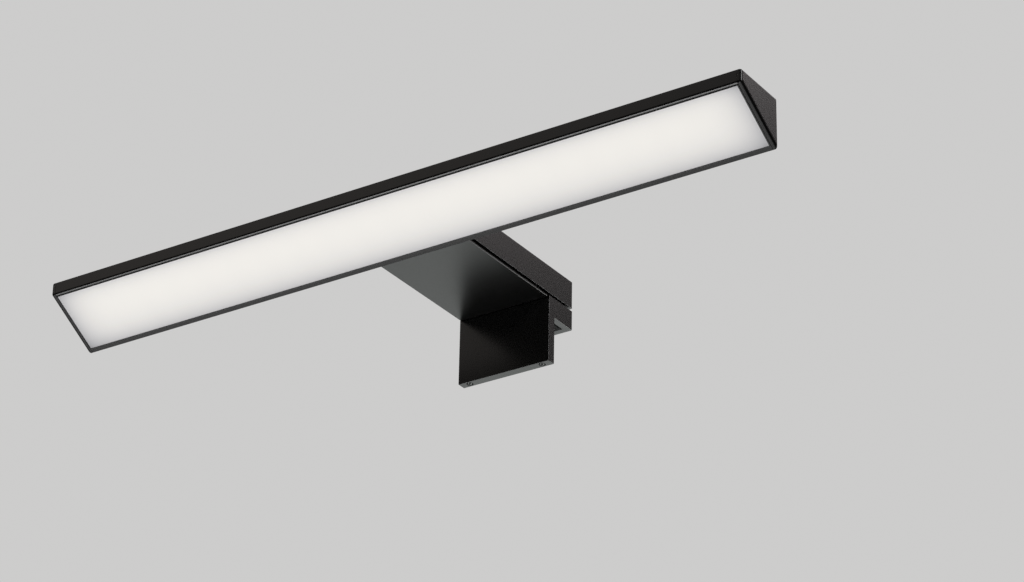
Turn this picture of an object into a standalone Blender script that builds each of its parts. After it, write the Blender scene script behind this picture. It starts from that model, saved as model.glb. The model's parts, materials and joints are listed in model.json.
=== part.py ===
"""Clip-on mirror light: a light bar on a cantilever arm, held by a clamp on the mirror's top edge.

Units are metres and +Z is up. X runs along the bar, and +Y points from the user into the wall. The origin
is on the underside of the seat pad, where the clamp rests on the mirror's top edge, in the middle of the
bracket's width and above the middle of a 4 mm glass.
"""

import math

import bpy
from mathutils import Vector

MM = 0.001

# Gap between pieces that touch on the real object.
GAP = 0.3 * MM

# Light bar: a right trapezoid in section, with its sloping side facing down and forward.
BAR_LENGTH = 300.0 * MM
BAR_DEPTH = 24.0 * MM
BAR_TOP_Z = 22.0 * MM
BAR_FRONT_HEIGHT = 4.8 * MM
BAR_REAR_HEIGHT = 19.4 * MM
BAR_WALL = 1.2 * MM
CAP_THICKNESS = 1.6 * MM

# Lips around the diffuser, measured along the slope, and the groove behind them, measured into the bar.
FRONT_LIP = 1.0 * MM
REAR_LIP = 1.9 * MM
LIP_THICKNESS = 0.7 * MM
FRONT_GROOVE = 0.5 * MM
REAR_GROOVE = 0.4 * MM
GROOVE_FLOOR = 1.85 * MM
RAIL_WIDTH = 1.6 * MM
RAIL_FLOOR = 2.65 * MM

# Shallow recess and bead line on the bar's rear face.
RECESS_DEPTH = 0.4 * MM
RECESS_TOP_BORDER = 0.9 * MM
RECESS_BOTTOM_BORDER = 3.2 * MM
BEAD_LOW = 1.1 * MM
BEAD_HIGH = 1.4 * MM
BEAD_DEPTH = 0.2 * MM

# Diffuser: a raised face between the lips, and a flange that runs in the grooves.
DIFFUSER_FACE = 0.15 * MM
DIFFUSER_FLANGE = 1.0 * MM
DIFFUSER_BACK = 1.55 * MM
DIFFUSER_SHADOW_GAP = 0.3 * MM

# Light source, on the underside of the bar's top wall.
LED_COUNT = 20
LED_PITCH = 14.0 * MM
LED_SIZE = 2.8 * MM
LED_HEIGHT = 0.7 * MM
BOARD_LENGTH = 284.0 * MM
BOARD_WIDTH = 12.0 * MM
BOARD_THICKNESS = 1.0 * MM
TAPE_THICKNESS = 0.4 * MM
LED_ROW_Y = -74.0 * MM
CONNECTOR_REAR_Y = -73.5 * MM
CONNECTOR_HEIGHT = 3.0 * MM

# Arm: a channel, open below, with a base plate under it and a shadow groove between the two.
ARM_WIDTH = 40.0 * MM
ARM_TOP_Z = 20.4 * MM
ARM_CHEEK_Z = 9.2 * MM
ARM_UNDERSIDE_Z = 7.6 * MM
ARM_WALL = 1.6 * MM
ARM_FRONT_Y = -64.3 * MM
ARM_REAR_Y = 9.65 * MM
BASE_PLATE_THICKNESS = 0.6 * MM
BASE_PLATE_INSET = 0.5 * MM
TONGUE_TOP_Z = 10.2 * MM
TONGUE_INSET = 1.9 * MM

# M3 screws: shank, and the clearance hole that they pass through.
M3_SHANK_R = 1.5 * MM
M3_HOLE_R = 1.8 * MM

# Joint between the bar and the arm.
FLANGE_WIDTH = 44.0 * MM
FLANGE_LOW_Z = 6.9 * MM
FLANGE_HIGH_Z = 20.8 * MM
FLANGE_RADIUS = 1.5 * MM
FLANGE_THICKNESS = 1.0 * MM
JOINT_BLOCK_LENGTH = 12.0 * MM
JOINT_SCREW_X = 12.0 * MM
JOINT_SCREW_LENGTH = 12.0 * MM
WIRE_Z = 14.0 * MM
WIRE_HOLE_R = 2.6 * MM

# Clamp bracket: a channel, open below, whose front leg is the plate in front of the mirror.
BRACKET_TOP_Z = 8.2 * MM
PLATE_FRONT_Y = -6.0 * MM
PLATE_REAR_Y = -2.2 * MM
PLATE_LOW_Z = -18.6 * MM
ROOF_Z = 0.2 * MM
REAR_LEG_Y = 7.15 * MM
REAR_LEG_LOW_Z = -10.0 * MM
REAR_LEG_HALF_WIDTH = 9.5 * MM
PAD_POCKET = 0.7 * MM
PAD_THICKNESS = 0.6 * MM
PAD_HALF_WIDTH = 17.0 * MM
POCKET_LOW_MARGIN = 2.4 * MM
POCKET_TOP_MARGIN = 2.9 * MM
BRACKET_SCREW_X = 12.0 * MM
BRACKET_SCREW_Y = 2.5 * MM
BRACKET_SCREW_LENGTH = 13.0 * MM
EDGE_SCREW_X = 16.0 * MM
EDGE_SCREW_LENGTH = 7.0 * MM
EDGE_SCREW_R = 0.98 * MM
EDGE_BORE_R = 1.25 * MM

# Clamp jaw, drawn open for a glass of 4 to 4.5 mm.
SLOT_FRONT_Y = -2.0 * MM
SLOT_REAR_Y = 2.6 * MM
JAW_PAD_THICKNESS = 0.8 * MM
JAW_THICKNESS = 1.9 * MM
JAW_HALF_WIDTH = 12.0 * MM
JAW_TOP_Z = -2.6 * MM
JAW_LOW_Z = -11.0 * MM
CLAMP_SCREW_X = 5.5 * MM
CLAMP_SCREW_Z = -6.2 * MM
CLAMP_SCREW_R = 2.0 * MM
CLAMP_SCREW_END_Y = 10.25 * MM

# Driver and supply, inside the arm.
DRIVER_FRONT_Y = -50.0 * MM
DRIVER_REAR_Y = -11.0 * MM
DRIVER_HALF_WIDTH = 17.4 * MM
TRAY_FLOOR_Z = 10.6 * MM
TRAY_WALL = 0.6 * MM
TRAY_HEIGHT = 5.0 * MM
INLET_Z = 14.2 * MM
GROMMET_HOLE_R = 3.0 * MM
GROMMET_BORE_R = 2.1 * MM
GROMMET_LIP_R = 3.5 * MM

SEGMENTS = 24

BAR_FRONT_Y = ARM_FRONT_Y - GAP + RECESS_DEPTH - FLANGE_THICKNESS - GAP - BAR_DEPTH
BAR_REAR_Y = BAR_FRONT_Y + BAR_DEPTH
FRONT_LOW_Z = BAR_TOP_Z - BAR_FRONT_HEIGHT
REAR_LOW_Z = BAR_TOP_Z - BAR_REAR_HEIGHT
SLOPE_DROP = FRONT_LOW_Z - REAR_LOW_Z
SLOPE_LENGTH = math.hypot(BAR_DEPTH, SLOPE_DROP)
SLOPE_COS = BAR_DEPTH / SLOPE_LENGTH
SLOPE_SIN = SLOPE_DROP / SLOPE_LENGTH
PROFILE_HALF = BAR_LENGTH / 2 - CAP_THICKNESS - GAP
INNER_TOP_Z = BAR_TOP_Z - BAR_WALL
INNER_REAR_Y = BAR_REAR_Y - RECESS_DEPTH - BAR_WALL


def remove_everything():
    for obj in list(bpy.data.objects):
        bpy.data.objects.remove(obj, do_unlink=True)


def material(name, colour, roughness, metallic=0.0):
    mat = bpy.data.materials.get(name) or bpy.data.materials.new(name)
    mat.use_nodes = True
    shader = mat.node_tree.nodes["Principled BSDF"]
    shader.inputs["Base Color"].default_value = (*colour, 1.0)
    shader.inputs["Roughness"].default_value = roughness
    shader.inputs["Metallic"].default_value = metallic
    mat.diffuse_color = (*colour, 1.0)
    return mat


def black_paint():
    return material("black_paint", (0.008, 0.0075, 0.007), 0.30)


def black_plastic():
    return material("black_plastic", (0.030, 0.030, 0.030), 0.50)


def opal_acrylic():
    return material("opal_acrylic", (0.93, 0.92, 0.90), 0.35)


def rubber():
    return material("rubber", (0.035, 0.035, 0.035), 0.80)


def steel():
    return material("steel", (0.55, 0.55, 0.56), 0.30, 1.0)


def white_board():
    return material("white_board", (0.85, 0.86, 0.84), 0.45)


def green_board():
    return material("green_board", (0.05, 0.22, 0.10), 0.50)


def led_phosphor():
    return material("led_phosphor", (0.90, 0.75, 0.25), 0.40)


def link(name, mesh, mat):
    mesh.materials.append(mat)
    obj = bpy.data.objects.new(name, mesh)
    bpy.context.scene.collection.objects.link(obj)
    return obj


def mesh_from(name, points, faces):
    mesh = bpy.data.meshes.new(name)
    mesh.from_pydata([tuple(p) for p in points], [], faces)
    mesh.validate()
    mesh.update()
    return mesh


def loop_area(outline):
    return sum(a[0] * b[1] - b[0] * a[1] for a, b in zip(outline, outline[1:] + outline[:1])) / 2


def prism(name, outline, low, high, mat, place=lambda a, b, t: (t, a, b)):
    """Extrude a closed outline of (a, b) points from low to high; place turns (a, b, t) into a point.

    The outline runs anticlockwise as seen against the direction of extrusion.
    """
    if loop_area(outline) < 0:
        outline = outline[::-1]
    count = len(outline)
    points = [place(a, b, low) for a, b in outline] + [place(a, b, high) for a, b in outline]
    faces = [list(range(count))[::-1], [count + i for i in range(count)]]
    faces += [[i, (i + 1) % count, count + (i + 1) % count, count + i] for i in range(count)]
    return link(name, mesh_from(name, points, faces), mat)


def ring_prism(name, outer, inner, low, high, mat):
    """Extrude the band between two outlines with the same number of points, along X."""
    if loop_area(outer) < 0:
        outer = outer[::-1]
        inner = inner[::-1]
    count = len(outer)
    points = [(x, a, b) for x in (low, high) for loop in (outer, inner) for a, b in loop]
    faces = []
    for i in range(count):
        j = (i + 1) % count
        out_a, out_b = i, j
        in_a, in_b = count + i, count + j
        faces.append([out_a, out_b, 2 * count + out_b, 2 * count + out_a])
        faces.append([in_b, in_a, 2 * count + in_a, 2 * count + in_b])
        faces.append([out_b, out_a, in_a, in_b])
        faces.append([2 * count + out_a, 2 * count + out_b, 2 * count + in_b, 2 * count + in_a])
    return link(name, mesh_from(name, points, faces), mat)


def box(name, low, high, mat):
    outline = [(low[1], low[2]), (high[1], low[2]), (high[1], high[2]), (low[1], high[2])]
    return prism(name, outline, low[0], high[0], mat)


def turned(name, profile, origin, axis, mat, segments=SEGMENTS):
    """Revolve (along, radius) points about an axis; the object's origin sits on that axis.

    A zero radius is a point on the axis, so a profile that starts and ends on it makes a closed solid.
    """
    turn = Vector((0, 0, 1)).rotation_difference(Vector(axis)).to_matrix()
    points = []
    rows = []
    for along, radius in profile:
        if radius == 0:
            rows.append([len(points)] * segments)
            points.append(turn @ Vector((0, 0, along)))
            continue
        rows.append([len(points) + i for i in range(segments)])
        for i in range(segments):
            angle = 2 * math.pi * i / segments
            points.append(turn @ Vector((radius * math.cos(angle), radius * math.sin(angle), along)))
    faces = []
    closed_ring = profile[0] == profile[-1]
    if closed_ring:
        rows[-1] = rows[0]
        del points[-segments:]
    for below, above in zip(rows, rows[1:]):
        for i in range(segments):
            j = (i + 1) % segments
            corner = [below[i], below[j], above[j], above[i]]
            face = [v for k, v in enumerate(corner) if v not in corner[:k]]
            faces.append(face)
    obj = link(name, mesh_from(name, points, faces), mat)
    obj.location = origin
    obj.data.shade_smooth()
    obj.data.set_sharp_from_angle(angle=math.radians(35))
    return obj


def rod(name, origin, axis, length, radius, mat, segments=SEGMENTS):
    return turned(name, [(0, 0), (0, radius), (length, radius), (length, 0)], origin, axis, mat, segments)


def cut(target, cutter, keep=False):
    """Subtract a cutter from a target with a Boolean modifier, or add it where keep is true."""
    cutter.hide_render = True
    cutter.display_type = "WIRE"
    modifier = target.modifiers.new(cutter.name, "BOOLEAN")
    modifier.operation = "UNION" if keep else "DIFFERENCE"
    modifier.solver = "EXACT"
    modifier.object = cutter


def drill(target, name, origin, axis, length, radius, segments=SEGMENTS):
    cut(target, rod(name, origin, axis, length, radius, black_paint(), segments))


def slope(along, depth):
    """A (y, z) point: along the bar's sloping side from its front edge, and that deep into the bar."""
    return (
        BAR_FRONT_Y + SLOPE_COS * along + SLOPE_SIN * depth,
        FRONT_LOW_Z - SLOPE_SIN * along + SLOPE_COS * depth,
    )


def slope_at_y(y, depth):
    """The (y, z) point at a given y on the line that lies depth inside the sloping side."""
    along = (y - BAR_FRONT_Y - SLOPE_SIN * depth) / SLOPE_COS
    return slope(along, depth)


def cavity_outline(inset):
    """Clear space inside the bar, drawn in by inset from its walls."""
    front_y = slope(RAIL_WIDTH, RAIL_FLOOR)[0] + inset
    rear_y = INNER_REAR_Y - inset
    return [
        (front_y, INNER_TOP_Z - inset),
        (rear_y, INNER_TOP_Z - inset),
        slope_at_y(rear_y, GROOVE_FLOOR + inset),
        slope_at_y(front_y, RAIL_FLOOR + inset / 2),
    ]


def housing_outline():
    """Section of the bar's profile, open towards the diffuser."""
    rail_y = slope(RAIL_WIDTH, RAIL_FLOOR)[0]
    lip_end = SLOPE_LENGTH - REAR_LIP
    recess_y = BAR_REAR_Y - RECESS_DEPTH
    bead_y = BAR_REAR_Y - BEAD_DEPTH
    recess_low_z = REAR_LOW_Z + RECESS_BOTTOM_BORDER
    recess_high_z = BAR_TOP_Z - RECESS_TOP_BORDER
    return [
        (BAR_FRONT_Y, BAR_TOP_Z),
        slope(0, 0),
        slope(FRONT_LIP, 0),
        slope(FRONT_LIP, LIP_THICKNESS),
        slope(FRONT_GROOVE, LIP_THICKNESS),
        slope(FRONT_GROOVE, GROOVE_FLOOR),
        slope(RAIL_WIDTH, GROOVE_FLOOR),
        slope(RAIL_WIDTH, RAIL_FLOOR),
        (rail_y, INNER_TOP_Z),
        (INNER_REAR_Y, INNER_TOP_Z),
        slope_at_y(INNER_REAR_Y, GROOVE_FLOOR),
        slope(lip_end + REAR_GROOVE, GROOVE_FLOOR),
        slope(lip_end + REAR_GROOVE, LIP_THICKNESS),
        slope(lip_end, LIP_THICKNESS),
        slope(lip_end, 0),
        (BAR_REAR_Y, REAR_LOW_Z),
        (BAR_REAR_Y, REAR_LOW_Z + BEAD_LOW),
        (bead_y, REAR_LOW_Z + BEAD_LOW),
        (bead_y, REAR_LOW_Z + BEAD_HIGH),
        (BAR_REAR_Y, REAR_LOW_Z + BEAD_HIGH),
        (BAR_REAR_Y, recess_low_z),
        (recess_y, recess_low_z),
        (recess_y, recess_high_z),
        (BAR_REAR_Y, recess_high_z),
        (BAR_REAR_Y, BAR_TOP_Z),
    ]


def make_housing():
    housing = prism("housing_profile", housing_outline(), -PROFILE_HALF, PROFILE_HALF, black_paint())
    start_y = INNER_REAR_Y - BAR_WALL
    depth = 3 * BAR_WALL
    for side in (-1, 1):
        start = (side * JOINT_SCREW_X, start_y, WIRE_Z)
        drill(housing, f"cut_housing_screw_{side}", start, (0, 1, 0), depth, M3_HOLE_R)
    drill(housing, "cut_housing_wires", (0, start_y, WIRE_Z), (0, 1, 0), depth, WIRE_HOLE_R)


def make_end_caps():
    full = [(BAR_FRONT_Y, BAR_TOP_Z), slope(0, 0), (BAR_REAR_Y, REAR_LOW_Z), (BAR_REAR_Y, BAR_TOP_Z)]
    seal_width = 1.0 * MM
    plug = cavity_outline(GAP + seal_width + GAP)
    seal_out = cavity_outline(GAP)
    seal_in = cavity_outline(GAP + seal_width)
    plug_depth = 4.0 * MM
    half = BAR_LENGTH / 2
    for side, name in ((-1, "left"), (1, "right")):
        outer_x, inner_x = side * half, side * (half - CAP_THICKNESS)
        cap = prism(f"end_cap_{name}", full, min(outer_x, inner_x), max(outer_x, inner_x), black_paint())
        reach = sorted((side * (half - CAP_THICKNESS / 2), side * (half - CAP_THICKNESS - plug_depth)))
        cut(cap, prism(f"add_plug_{name}", plug, *reach, black_paint()), keep=True)
        band = sorted((side * (half - CAP_THICKNESS - 1.5 * MM), side * (half - CAP_THICKNESS - 3.2 * MM)))
        ring_prism(f"end_gasket_{name}", seal_out, seal_in, *band, rubber())


def make_diffuser():
    first = FRONT_LIP + DIFFUSER_SHADOW_GAP
    last = SLOPE_LENGTH - REAR_LIP - DIFFUSER_SHADOW_GAP
    flange_front = FRONT_GROOVE + GAP
    flange_rear = SLOPE_LENGTH - REAR_LIP + REAR_GROOVE - GAP
    outline = [
        slope(first, DIFFUSER_FACE),
        slope(last, DIFFUSER_FACE),
        slope(last, DIFFUSER_FLANGE),
        slope(flange_rear, DIFFUSER_FLANGE),
        slope(flange_rear, DIFFUSER_BACK),
        slope(flange_front, DIFFUSER_BACK),
        slope(flange_front, DIFFUSER_FLANGE),
        slope(first, DIFFUSER_FLANGE),
    ]
    half = PROFILE_HALF - 0.1 * MM
    prism("diffuser", outline, -half, half, opal_acrylic())


def make_light_source():
    tape_top = INNER_TOP_Z - GAP
    tape_low = tape_top - TAPE_THICKNESS
    board_top = tape_low - GAP
    board_low = board_top - BOARD_THICKNESS
    y_low, y_high = LED_ROW_Y - BOARD_WIDTH / 2, LED_ROW_Y + BOARD_WIDTH / 2
    half = BOARD_LENGTH / 2
    box("thermal_tape", (-half, y_low, tape_low), (half, y_high, tape_top), rubber())
    box("led_board", (-half, y_low, board_low), (half, y_high, board_top), white_board())
    led_top = board_low - GAP
    led_low = led_top - LED_HEIGHT
    for i in range(LED_COUNT):
        x = (i - (LED_COUNT - 1) / 2) * LED_PITCH
        low = (x - LED_SIZE / 2, LED_ROW_Y - LED_SIZE / 2, led_low)
        high = (x + LED_SIZE / 2, LED_ROW_Y + LED_SIZE / 2, led_top)
        box(f"led_{i + 1:02d}", low, high, led_phosphor())
    half_width, length = 3.0 * MM, 4.5 * MM
    low = (-half_width, CONNECTOR_REAR_Y - length, led_top - CONNECTOR_HEIGHT)
    connector = box("led_connector", low, (half_width, CONNECTOR_REAR_Y, led_top), white_board())
    for side, wire in ((-1, "black"), (1, "red")):
        start = (side * 1.3 * MM, CONNECTOR_REAR_Y - 2.2 * MM, led_top - CONNECTOR_HEIGHT / 2)
        drill(connector, f"cut_connector_{wire}", start, (0, 1, 0), 4 * MM, 0.95 * MM, 12)
    return led_top - CONNECTOR_HEIGHT / 2


def rounded_bottom_outline(half_width, low_z, high_z, radius, steps=5):
    """Rectangle in (x, z) with square top corners and rounded bottom corners."""
    outline = [(half_width, high_z), (-half_width, high_z)]
    for centre_x, start in ((-half_width + radius, math.pi), (half_width - radius, 1.5 * math.pi)):
        for i in range(steps + 1):
            angle = start + 0.5 * math.pi * i / steps
            outline.append((centre_x + radius * math.cos(angle), low_z + radius + radius * math.sin(angle)))
    return outline


def along_y(a, b, t):
    return (a, -t, b)


def make_arm_joint():
    flange_rear = ARM_FRONT_Y - GAP
    outline = rounded_bottom_outline(FLANGE_WIDTH / 2, FLANGE_LOW_Z, FLANGE_HIGH_Z, FLANGE_RADIUS)
    flange_front = flange_rear - FLANGE_THICKNESS
    joint = prism("arm_joint", outline, -flange_rear, -flange_front, black_paint(), along_y)
    half = ARM_WIDTH / 2 - TONGUE_INSET
    low_z = TONGUE_TOP_Z + GAP
    high_z = ARM_TOP_Z - ARM_WALL - GAP
    low = (-half, flange_rear - FLANGE_THICKNESS / 2, low_z)
    block = box("add_joint_block", low, (half, flange_rear + JOINT_BLOCK_LENGTH, high_z), black_paint())
    cut(joint, block, keep=True)
    length = JOINT_BLOCK_LENGTH + 4 * FLANGE_THICKNESS
    start_y = flange_front - FLANGE_THICKNESS
    for side in (-1, 1):
        start = (side * JOINT_SCREW_X, start_y, WIRE_Z)
        drill(joint, f"cut_joint_screw_{side}", start, (0, 1, 0), length, M3_HOLE_R)
    drill(joint, "cut_joint_wires", (0, start_y, WIRE_Z), (0, 1, 0), length, WIRE_HOLE_R)
    return flange_rear + JOINT_BLOCK_LENGTH


def pan_screw(name, head, axis, shank_length, head_r, head_height):
    """M3 pan-head screw: its head's underside at the head point, and its shank along the axis."""
    shank_r = M3_SHANK_R
    edge = 0.25 * head_height
    profile = [
        (-head_height, 0),
        (-head_height, head_r - edge),
        (-head_height + edge, head_r),
        (0, head_r),
        (0, shank_r),
        (shank_length - shank_r / 2, shank_r),
        (shank_length, shank_r / 2),
        (shank_length, 0),
    ]
    screw = turned(name, profile, head, axis, steel())
    cut_hexagon(screw, name, head, axis, -head_height, 0.45 * head_r, 0.6 * head_height)


def cut_hexagon(target, name, head, axis, face, radius, depth):
    """Hexagon socket sunk depth into the screw's end face, which lies at face along the axis."""
    over = 0.5 * MM
    start = Vector(head) + Vector(axis) * (face - over)
    drill(target, f"cut_{name}_socket", start, axis, over + depth, radius, 6)


def make_arm_screws():
    head_y = INNER_REAR_Y - GAP
    for side, name in ((-1, "left"), (1, "right")):
        point = (side * JOINT_SCREW_X, head_y, WIRE_Z)
        pan_screw(f"arm_screw_{name}", point, (0, 1, 0), JOINT_SCREW_LENGTH, 2.7 * MM, 2.0 * MM)


def make_wire_bush():
    outer = WIRE_HOLE_R - GAP
    bore = outer - 0.45 * MM
    flange_low = -GAP - 0.8 * MM
    profile = [(flange_low, bore), (flange_low, outer + 1.0 * MM), (-GAP, outer + 1.0 * MM), (-GAP, outer)]
    profile += [(4.0 * MM, outer), (4.0 * MM, bore), (flange_low, bore)]
    turned("wire_bush", profile, (0, INNER_REAR_Y, WIRE_Z), (0, 1, 0), rubber())


def make_arm_body():
    half = ARM_WIDTH / 2
    low, high = (-half, ARM_FRONT_Y, ARM_CHEEK_Z), (half, ARM_REAR_Y, ARM_TOP_Z)
    body = box("arm_body", low, high, black_paint())
    over = 2.0 * MM
    inner_low = (-half + ARM_WALL, ARM_FRONT_Y - over, ARM_CHEEK_Z - over)
    inner_high = (half - ARM_WALL, ARM_REAR_Y - ARM_WALL, ARM_TOP_Z - ARM_WALL)
    cut(body, box("cut_arm_channel", inner_low, inner_high, black_paint()))
    boss_low = TONGUE_TOP_Z + GAP
    boss_length = ARM_TOP_Z - ARM_WALL / 2 - boss_low
    boss_r = 3.4 * MM
    bore_depth = 6.6 * MM
    for side in (-1, 1):
        centre = (side * BRACKET_SCREW_X, BRACKET_SCREW_Y, boss_low)
        boss = rod(f"add_arm_boss_{side}", centre, (0, 0, 1), boss_length, boss_r, black_paint())
        cut(body, boss, keep=True)
        under = (centre[0], centre[1], boss_low - over)
        drill(body, f"cut_arm_boss_{side}", under, (0, 0, 1), over + bore_depth, M3_HOLE_R)
    inlet = (0, ARM_REAR_Y - 2 * ARM_WALL, INLET_Z)
    drill(body, "cut_arm_inlet", inlet, (0, 1, 0), 4 * ARM_WALL, GROMMET_HOLE_R)


def make_arm_base_plate():
    half = ARM_WIDTH / 2 - BASE_PLATE_INSET
    plate_top = ARM_UNDERSIDE_Z + BASE_PLATE_THICKNESS
    rear_y = PLATE_FRONT_Y - GAP
    low, high = (-half, ARM_FRONT_Y, ARM_UNDERSIDE_Z), (half, rear_y, plate_top)
    plate = box("arm_base_plate", low, high, black_paint())
    tongue_half = ARM_WIDTH / 2 - TONGUE_INSET
    tongue_low = (-tongue_half, ARM_FRONT_Y + 1.0 * MM, plate_top - BASE_PLATE_THICKNESS / 2)
    tongue_high = (tongue_half, rear_y - 1.0 * MM, TONGUE_TOP_Z)
    cut(plate, box("add_base_tongue", tongue_low, tongue_high, black_paint()), keep=True)


def bracket_outline():
    """Section of the clamp bracket in (y, z): the front plate and the web over the glass."""
    return [
        (PLATE_FRONT_Y, BRACKET_TOP_Z),
        (PLATE_FRONT_Y, PLATE_LOW_Z),
        (PLATE_REAR_Y, PLATE_LOW_Z),
        (PLATE_REAR_Y, ROOF_Z),
        (ARM_REAR_Y, ROOF_Z),
        (ARM_REAR_Y, BRACKET_TOP_Z),
    ]


def make_clamp_bracket():
    half = ARM_WIDTH / 2
    bracket = prism("clamp_bracket", bracket_outline(), -half, half, black_paint())
    inset = 1.0 * MM
    tongue_half = half - TONGUE_INSET
    tongue_low = (-tongue_half, PLATE_FRONT_Y + inset, BRACKET_TOP_Z - inset)
    tongue_high = (tongue_half, ARM_REAR_Y - ARM_WALL - GAP, TONGUE_TOP_Z)
    cut(bracket, box("add_bracket_tongue", tongue_low, tongue_high, black_paint()), keep=True)
    leg_low = (-REAR_LEG_HALF_WIDTH, REAR_LEG_Y, REAR_LEG_LOW_Z)
    leg_high = (REAR_LEG_HALF_WIDTH, ARM_REAR_Y - GAP / 2, ROOF_Z + inset)
    cut(bracket, box("add_rear_leg", leg_low, leg_high, black_paint()), keep=True)
    pocket_half = PAD_HALF_WIDTH + GAP
    front_low = (-pocket_half, PLATE_REAR_Y - PAD_POCKET, PLATE_LOW_Z + POCKET_LOW_MARGIN)
    front_high = (pocket_half, PLATE_REAR_Y + inset, ROOF_Z - POCKET_TOP_MARGIN)
    cut(bracket, box("cut_front_pocket", front_low, front_high, black_paint()))
    seat_low = (-pocket_half, PLATE_REAR_Y + GAP, ROOF_Z - inset)
    seat_high = (pocket_half, REAR_LEG_Y - GAP, ROOF_Z + PAD_POCKET + 0.1 * MM)
    cut(bracket, box("cut_seat_pocket", seat_low, seat_high, black_paint()))
    head_depth, head_pocket_r = 3.2 * MM, 3.1 * MM
    for side in (-1, 1):
        head = (side * BRACKET_SCREW_X, BRACKET_SCREW_Y, ROOF_Z)
        drill(bracket, f"cut_bracket_head_{side}", head, (0, 0, 1), head_depth, head_pocket_r)
        drill(bracket, f"cut_bracket_shank_{side}", head, (0, 0, 1), BRACKET_SCREW_LENGTH, M3_HOLE_R)
        leg = (side * CLAMP_SCREW_X, REAR_LEG_Y - inset, CLAMP_SCREW_Z)
        drill(bracket, f"cut_bracket_thread_{side}", leg, (0, 1, 0), 5.0 * MM, CLAMP_SCREW_R + GAP)
        edge = (side * EDGE_SCREW_X, (PLATE_FRONT_Y + PLATE_REAR_Y - GAP) / 2, PLATE_LOW_Z - inset)
        length = EDGE_SCREW_LENGTH + GAP + inset
        drill(bracket, f"cut_bracket_edge_{side}", edge, (0, 0, 1), length, EDGE_BORE_R, 16)


def make_bracket_screws():
    head_z = ROOF_Z + 2.9 * MM
    for side, name in ((-1, "left"), (1, "right")):
        point = (side * BRACKET_SCREW_X, BRACKET_SCREW_Y, head_z)
        pan_screw(f"bracket_screw_{name}", point, (0, 0, 1), BRACKET_SCREW_LENGTH, 2.75 * MM, 1.7 * MM)


def make_edge_screws():
    radius = EDGE_SCREW_R
    chamfer = 0.15 * MM
    profile = [
        (0, 0),
        (0, radius - chamfer),
        (chamfer, radius),
        (EDGE_SCREW_LENGTH - chamfer, radius),
        (EDGE_SCREW_LENGTH, radius - chamfer),
        (EDGE_SCREW_LENGTH, 0),
    ]
    y = (PLATE_FRONT_Y + PLATE_REAR_Y - GAP) / 2
    for side, name in ((-1, "left"), (1, "right")):
        point = (side * EDGE_SCREW_X, y, PLATE_LOW_Z)
        screw = turned(f"edge_screw_{name}", profile, point, (0, 0, 1), steel(), 16)
        cut_hexagon(screw, f"edge_screw_{name}", point, (0, 0, 1), 0, 0.5 * MM, 1.2 * MM)


def make_pads():
    front_low_z = PLATE_LOW_Z + POCKET_LOW_MARGIN + GAP
    front_high_z = ROOF_Z - POCKET_TOP_MARGIN - GAP
    front_low = (-PAD_HALF_WIDTH, SLOT_FRONT_Y - PAD_THICKNESS, front_low_z)
    box("front_pad", front_low, (PAD_HALF_WIDTH, SLOT_FRONT_Y, front_high_z), rubber())
    seat_low = (-PAD_HALF_WIDTH, PLATE_REAR_Y + 2 * GAP, 0)
    seat_high = (PAD_HALF_WIDTH, REAR_LEG_Y - 2 * GAP, PAD_THICKNESS)
    box("seat_pad", seat_low, seat_high, rubber())
    edge = 0.8 * MM
    jaw_low = (-JAW_HALF_WIDTH + edge, SLOT_REAR_Y, JAW_LOW_Z + edge)
    jaw_high = (JAW_HALF_WIDTH - edge, SLOT_REAR_Y + JAW_PAD_THICKNESS, JAW_TOP_Z - edge)
    box("jaw_pad", jaw_low, jaw_high, rubber())


def make_rear_jaw():
    front_y = SLOT_REAR_Y + JAW_PAD_THICKNESS + GAP
    low = (-JAW_HALF_WIDTH, front_y, JAW_LOW_Z)
    high = (JAW_HALF_WIDTH, front_y + JAW_THICKNESS, JAW_TOP_Z)
    jaw = box("rear_jaw", low, high, steel())
    over = 1.0 * MM
    for side in (-1, 1):
        start = (side * CLAMP_SCREW_X, front_y - over, CLAMP_SCREW_Z)
        drill(jaw, f"cut_jaw_seat_{side}", start, (0, 1, 0), over + 0.9 * MM, 2.3 * MM)
        drill(jaw, f"cut_jaw_hole_{side}", start, (0, 1, 0), 2 * over + JAW_THICKNESS, 1.45 * MM)


def make_clamp_screws():
    """Clamp screws with a captive tip in the jaw; each object's origin is on its own axis."""
    jaw_front = SLOT_REAR_Y + JAW_PAD_THICKNESS + GAP
    tip = 0.05 * MM
    tip_end = 0.55 * MM
    shoulder = JAW_THICKNESS + GAP
    end = CLAMP_SCREW_END_Y - jaw_front
    chamfer = 0.4 * MM
    neck_r, tip_r = 1.1 * MM, 1.9 * MM
    profile = [
        (tip, 0),
        (tip, tip_r),
        (tip_end, tip_r),
        (tip_end, neck_r),
        (shoulder, neck_r),
        (shoulder, CLAMP_SCREW_R - chamfer),
        (shoulder + chamfer, CLAMP_SCREW_R),
        (end - chamfer, CLAMP_SCREW_R),
        (end, CLAMP_SCREW_R - chamfer),
        (end, 0),
    ]
    for side, name in ((-1, "left"), (1, "right")):
        point = (side * CLAMP_SCREW_X, jaw_front, CLAMP_SCREW_Z)
        screw = turned(f"clamp_screw_{name}", profile, point, (0, 1, 0), steel())
        rear_face = (point[0], jaw_front + end, point[2])
        cut_hexagon(screw, f"clamp_screw_{name}", rear_face, (0, -1, 0), 0, 1.15 * MM, 2.0 * MM)


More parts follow.
